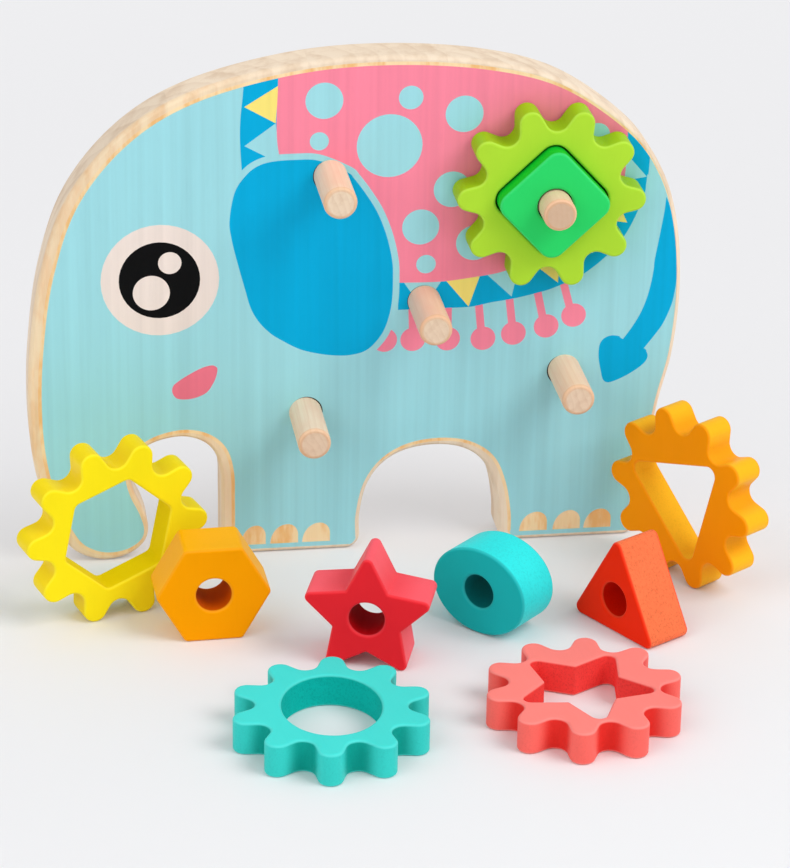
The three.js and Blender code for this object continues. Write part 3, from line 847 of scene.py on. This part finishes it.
def triangle(grow=0.0):
    corner_radius = triangle_side / 3 ** 0.5 + 2 * grow
    return polygon(np.full(3, corner_radius), np.full(3, triangle_round + grow), first=90)


def oval(grow=0.0):
    """An ellipse, with its own normals: the point's parts over the squares of the half axes."""
    a, b = oval_half_length + grow, oval_half_height + grow
    angle = np.radians(np.arange(oval_places) * 360 / oval_places)
    out = np.stack([np.cos(angle) / a, np.sin(angle) / b], 1)
    return np.stack([a * np.cos(angle), b * np.sin(angle)], 1), out / np.linalg.norm(out, axis=1)[:, None]


star_half_angle = np.arctan2(star_hollow * np.sin(np.pi / 5), star_tip - star_hollow * np.cos(np.pi / 5))


def star(grow=0.0):
    """Five tips and five hollows. A hole's hollows are rounder, to leave room for the broken edge."""
    flank = star_tip * np.sin(star_half_angle)
    larger = (flank + grow) / flank
    radii = np.tile([star_tip, star_hollow], 5) * larger
    rounds = np.tile([star_tip_round + grow, star_hollow_round + hollow_grow_share * grow], 5)
    return polygon(radii, rounds, first=90)


def standing(node, centre_height, heading):
    """The axes of a standing piece: across, up and out of its front, at the CAD piece's middle.
    The heading turns it about the upright, in degrees from facing along -Y."""
    a = np.radians(heading)
    across, outwards = (np.cos(a), np.sin(a), 0), (np.sin(a), -np.cos(a), 0)
    return [(*middle_of(node)[:2], centre_height), across, (0, 0, 1), outwards]


def lying(node, heading):
    """The axes of a piece that lies on its back, turned about the upright."""
    a = np.radians(heading)
    return [middle_of(node), (np.cos(a), np.sin(a), 0), (-np.sin(a), np.cos(a), 0), (0, 0, 1)]


def loose_gear(node, cut, turn, axes, **coat):
    """The blank, with the hole of one block's outline at a turn of its own, and its paint."""
    slot, hole = node.split("_")[0] + "_paint", as_hole(cut(hole_grow), turn)
    gear = plate(node + "_wood", gear_outline(), [hole], gear_thickness, gear_edge, axes)
    paint = painted(slot.replace("_", " "), thickness=gear_thickness, edge=gear_edge[0],
                    hollows=gear_hollows, **coat)
    paint_on(gear, paint, node, node)


# The side and hole colours hold painted light and shade besides the paint, and the last share is how much
# painted shade darkens the valleys between the teeth.
loose_gear("yellow_gear", hexagon, 18, standing("yellow_gear", gear_stand, heading=17.6),
           face=(254, 233, 28), side=(250, 222, 10), hole=(240, 212, 0), open_grain=(0.05, 0.1), pooled=0.2)
loose_gear("orange_gear", triangle, -44, standing("orange_gear", gear_stand, heading=-56.3),
           face=(255, 154, 0), side=(255, 186, 34), hole=(255, 193, 42), open_grain=(0.15, 0.25), pooled=0.4)
loose_gear("turquoise_gear", oval, 77, lying("turquoise_gear", heading=10.3),
           face=(72, 222, 214), side=(60, 210, 201), hole=(16, 188, 178), open_grain=(0.25, 0.6), pooled=0.9)
loose_gear("coral_gear", star, -40, lying("coral_gear", heading=6.3),
           face=(255, 134, 126), side=(253, 110, 101), hole=(250, 74, 70), open_grain=(0.2, 0.55), pooled=0.9)


# The four loose blocks, one for each of those gears: hexagon, star, oval and triangle, sawn from
# solid wood, drilled through to turn on the pegs, their edges broken, sprayed with satin paint.
# Each stands on its side on the table, its middle as high as its outline asks.

star_round_centre = star_tip - star_tip_round / np.sin(star_half_angle)
star_stand = star_round_centre * np.cos(np.pi / 5) + star_tip_round
star_hollows = star_hollow, star_tip * 0.8


def loose_block(node, outline, centre_height, heading, slot, **coat):
    """A drilled block of an outline, and its paint, with painted shade in the hollows of the star."""
    axes = standing(node, centre_height, heading)
    block = plate(node + "_wood", outline(), [bore], block_thickness, block_edge, axes)
    paint = painted(slot.replace("_", " "), thickness=block_thickness, edge=block_edge[0],
                    hollows=star_hollows, **coat)
    paint_on(block, paint, node, node)


# Each block's side and hole colours hold painted light and shade besides the paint; the star's last share
# darkens its hollows with painted shade.
loose_block("hexagon_block", hexagon, hexagon_flats / 2, heading=2.2, slot="amber_paint",
            face=(250, 160, 4), side=(255, 180, 4), hole=(208, 90, 0), open_grain=(0.05, 0.05), pooled=0)
loose_block("star_block", star, star_stand, heading=-17.7, slot="crimson_paint",
            face=(240, 42, 52), side=(255, 96, 108), hole=(184, 5, 15), open_grain=(0.05, 0.1), pooled=0.35)
loose_block("oval_block", oval, oval_half_height, heading=-45.6, slot="teal_paint",
            face=(28, 188, 190), side=(54, 232, 232), hole=(8, 122, 124), open_grain=(0.4, 0.2), pooled=0)
loose_block("triangle_block", triangle, triangle_side / 12 ** 0.5, heading=-59.4, slot="scarlet_paint",
            face=(248, 44, 6), side=(255, 124, 78), hole=(212, 24, 0), open_grain=(0.8, 0.3), pooled=0)


# The table, the lamps and the camera. The table is a plain pale sweep that keeps the shadows and
# goes over into an even pale background wholly further off. Just behind the board it goes partly
# over as well: painted light, which lightens the board's shadow there. One large soft lamp hangs
# high on the right, a weaker one on the left, in an even pale room.

def sweep(width, front, back, rise, bend):
    """A floor that bends up into a backdrop: level, then a quarter circle, then upright."""
    angle = np.radians(np.linspace(0, 90, 25))
    y = np.concatenate([[-front], back - bend + bend * np.sin(angle), [back]])
    z = np.concatenate([[0], bend * (1 - np.cos(angle)), [rise]])
    x = np.array([-width, width])
    spots = np.stack([np.repeat(x, len(y)), np.tile(y, 2), np.tile(z, 2)], 1)
    low = np.arange(len(y) - 1)
    quads = np.stack([low, low + len(y), low + len(y) + 1, low + 1], 1)
    mesh = bpy.data.meshes.new("table")
    mesh.from_pydata(spots.tolist(), [], quads.tolist())
    mesh.shade_smooth()
    table = bpy.data.objects.new("table", mesh)
    bpy.context.scene.collection.objects.link(table)
    return table


def seen_by(wire):
    """1 for what the camera sees itself or in a gloss or a glass, 0 for the light on the pieces."""
    kinds = "Camera", "Glossy", "Transmission"
    paths = [wire.node("LightPath", output="Is %s Ray" % kind) for kind in kinds]
    return paths[0] | paths[1] | paths[2]


table_dull, table_pale = colour(234, 234, 236), colour(238, 238, 240)
background = {"Color": colour(239, 239, 241), "Strength": 1.0}
table = sweep(width=6.0, front=4.0, back=2.2, rise=4.0, bend=1.4)
material = bpy.data.materials.new("pale table")
material.use_nodes = True
shader = material.node_tree.nodes["Principled BSDF"]
place = Wire(material.node_tree.nodes.new("ShaderNodeTexCoord").outputs["Object"])
cloud = place.stretched(3.0, 3.0, 3.0).noise(2.0)
connect(shader, Base_Color=cloud.mix(table_dull, table_pale))
shader.inputs["Roughness"].default_value = 0.75
shader.inputs["Specular IOR Level"].default_value = 0.2
x, y, height = place.parts()
away = ((x * x + y * y + height * height) ** 0.5).steps(0.35, 1.1)
# Painted light: just behind the board the floor goes partly over into the plain pale glow, which lightens the
# board's shadow there.
behind_board_glow = y.steps(0.03, 0.22) * 0.7
away = away + behind_board_glow - away * behind_board_glow
plain = place.node("Emission", inputs=background)
lit = place.node("MixShader", inputs={0: seen_by(place) * away, 1: Wire(shader.outputs["BSDF"]), 2: plain})
material.node_tree.links.new(lit.socket, material.node_tree.nodes["Material Output"].inputs["Surface"])
table.data.materials.append(material)


def lamp(name, place, target, size, watts):
    light = bpy.data.lights.new(name, "AREA")
    light.shape, light.size, light.energy = "DISK", size, watts
    holder = bpy.data.objects.new(name, light)
    holder.location = place
    holder.rotation_mode = "QUATERNION"
    holder.rotation_quaternion = (Vector(target) - Vector(place)).to_track_quat("-Z", "Y")
    bpy.context.scene.collection.objects.link(holder)


toy_middle, room_light = (0, 0, 0.08), 0.64
lamp("soft key", (1.36, -0.95, 1.80), toy_middle, size=1.5, watts=27)
lamp("left fill", (-1.75, -1.22, 1.5), toy_middle, size=2.4, watts=16)
world = bpy.data.worlds.new("pale room")
world.use_nodes = True
room = world.node_tree.nodes["Background"]
room.inputs["Color"].default_value = (1, 1, 1, 1)
room.inputs["Strength"].default_value = room_light
light = Wire(room.outputs["Background"])
plain = light.node("Background", inputs=background)
shown = light.node("MixShader", inputs={0: seen_by(light), 1: light, 2: plain})
world.node_tree.links.new(shown.socket, world.node_tree.nodes["World Output"].inputs["Surface"])
bpy.context.scene.world = world

camera_place, lens = np.array([-194.02, -1230.83, 662.1]), 141.01
pitch, yaw, roll = np.radians([24.44, 8.70, 0.97])
forward = np.array([np.sin(yaw) * np.cos(pitch), np.cos(yaw) * np.cos(pitch), -np.sin(pitch)])
level = np.array([np.cos(yaw), -np.sin(yaw), 0.0])
upright = np.cross(level, forward)
right = np.cos(roll) * level + np.sin(roll) * upright
top = -np.sin(roll) * level + np.cos(roll) * upright
camera = bpy.data.objects.new("camera", bpy.data.cameras.new("camera"))
camera.data.lens = lens
camera.data.clip_end = 50
pose = np.eye(4)
pose[:3, :3] = np.stack([right, top, -forward], 1)
pose[:3, 3] = camera_place * MM
camera.matrix_world = Matrix(pose.tolist())
bpy.context.scene.collection.objects.link(camera)
bpy.context.scene.camera = camera
bpy.context.scene.view_settings.view_transform = "Standard"
